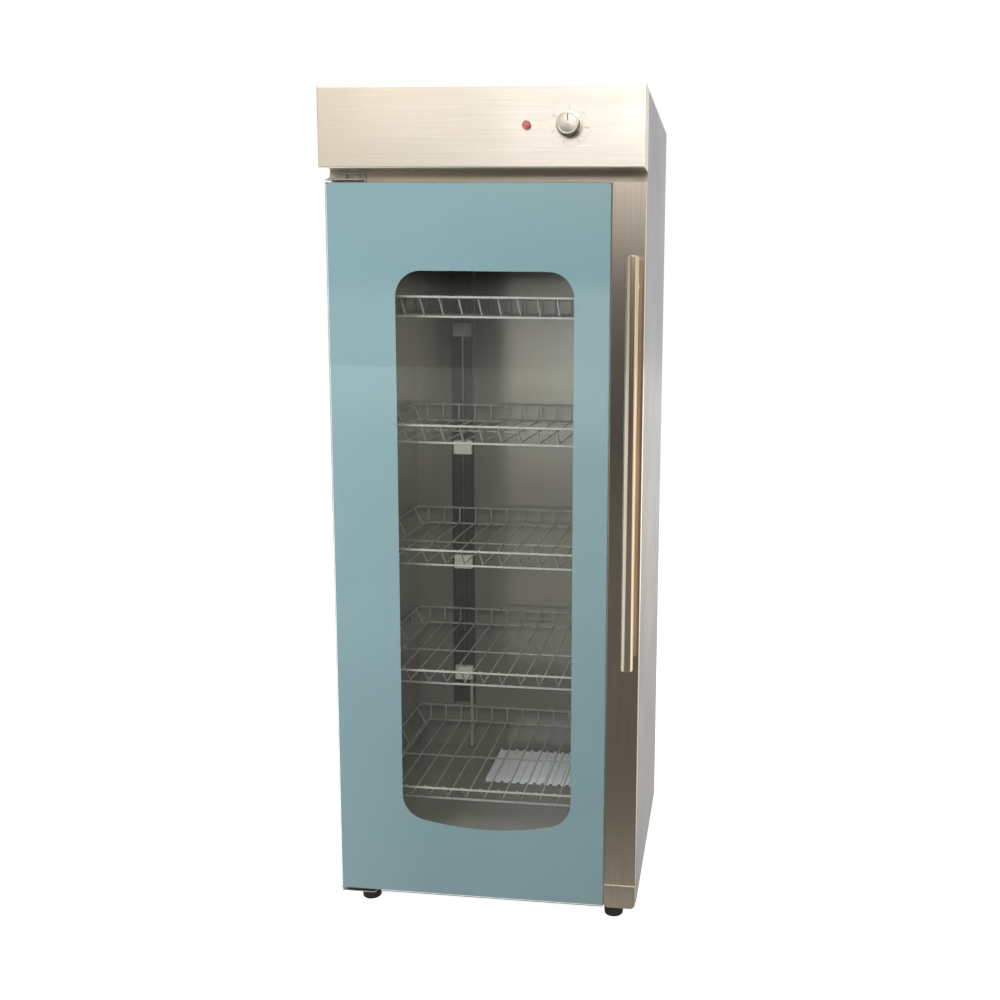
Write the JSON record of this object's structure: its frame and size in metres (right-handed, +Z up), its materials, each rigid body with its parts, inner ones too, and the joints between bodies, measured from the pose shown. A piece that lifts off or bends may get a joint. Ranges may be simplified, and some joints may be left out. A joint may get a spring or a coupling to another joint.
{
  "type": "dish sterilizer cabinet",
  "caption": "Tall free-standing dish drying and sterilizing cabinet with a printed glass door, tube handle, wire racks, infrared heater and a steel head with timer knob and lamp.",
  "frame": {"origin": "bottom centre of the overall box, on the floor", "axes": "+Z up, -Y the front with the door, +X the handle side"},
  "size_m": [0.64, 0.6374, 1.716],
  "materials": {
    "side_sheet": "satin stainless sheet",
    "brushed_stainless": "brushed stainless steel",
    "liner_stainless": "satin stainless liner",
    "galvanised_sheet": "galvanised sheet with a faint spangle",
    "zinc_plated": "bright zinc plate",
    "polished_steel": "polished stainless",
    "chromed_wire": "chrome-plated wire",
    "mineral_wool": "loose mineral fibre",
    "black_rubber": "matt black rubber",
    "black_foam": "closed-cell foam tape",
    "grey_seal": "soft grey silicone seal",
    "white_nylon": "moulded nylon",
    "black_plastic": "moulded plastic",
    "clear_glass": "toughened float glass",
    "quartz": "milky quartz",
    "red_lens": "red moulded lens",
    "fired_enamel": "glossy fired colour behind glass",
    "white_ceramic": "unglazed white ceramic",
    "dial_white": "satin dial with fine marks",
    "spun_aluminium": "spun bright aluminium",
    "dark_channel": "heat-darkened steel",
    "braided_sleeve": "glass-fibre sleeve",
    "blue_white_enamel": "bluish white enamel"
  },
  "bodies": {
    "root": {"side_panel_left": "side_sheet", "side_panel_right": "side_sheet", "back_panel": "galvanised_sheet", "top_cover": "side_sheet", "head_fascia": "brushed_stainless", "head_partition": "galvanised_sheet", "front_rail_top": "brushed_stainless", "front_rail_bottom": "brushed_stainless", "base_pan": "galvanised_sheet", "panel_screws": "zinc_plated", "liner_left": "liner_stainless", "liner_right": "liner_stainless", "liner_back": "liner_stainless", "liner_ceiling": "liner_stainless", "liner_floor": "liner_stainless", "insulation_slabs": "mineral_wool", "foot_pads": "black_rubber", "foot_bolts": "zinc_plated", "hinge_brackets": "zinc_plated", "hinge_pins": "zinc_plated", "hinge_screws": "zinc_plated", "door_catch": "black_rubber", "timer_body": "black_plastic", "dial_plate": "dial_white", "indicator_bezel": "polished_steel", "indicator_lens": "red_lens", "lamp_body": "black_plastic", "rack_1": "chromed_wire", "rack_2": "chromed_wire", "rack_3": "chromed_wire", "rack_4": "chromed_wire", "rack_5": "chromed_wire", "rack_studs": "zinc_plated", "heater_channel": "dark_channel", "tube_holders": "white_ceramic", "heater_tubes": "quartz", "terminal_block": "black_plastic", "heater_lead": "braided_sleeve", "control_leads": "black_rubber", "floor_grommet": "black_rubber", "cable_gland": "black_plastic", "thermostat": "black_plastic", "drip_tray": "blue_white_enamel"},
    "door": {"door_frame": "side_sheet", "door_inner_skin": "side_sheet", "door_glass": "clear_glass", "glass_print": "fired_enamel", "bonding_tape": "black_foam", "steel_band": "brushed_stainless", "band_end_cap": "brushed_stainless", "door_gasket": "grey_seal", "handle_tube": "brushed_stainless", "handle_caps": "polished_steel", "handle_posts": "polished_steel", "handle_screws": "zinc_plated", "hinge_bushes": "white_nylon"},
    "timer_dial": {"timer_shaft": "zinc_plated", "timer_knob": "spun_aluminium", "knob_face": "spun_aluminium"}
  },
  "joints": [
    {"name": "door_hinge", "type": "hinge", "parent": "root", "child": "door", "pos_m": [-0.312, -0.24325, 0.791], "axis": [0, 0, -1], "range_deg": [0, 120]},
    {"name": "timer_knob_turn", "type": "hinge", "parent": "root", "child": "timer_dial", "pos_m": [0.175, -0.28925, 1.6415], "axis": [0, 1, 0], "range_deg": [0, 300]}
  ]
}
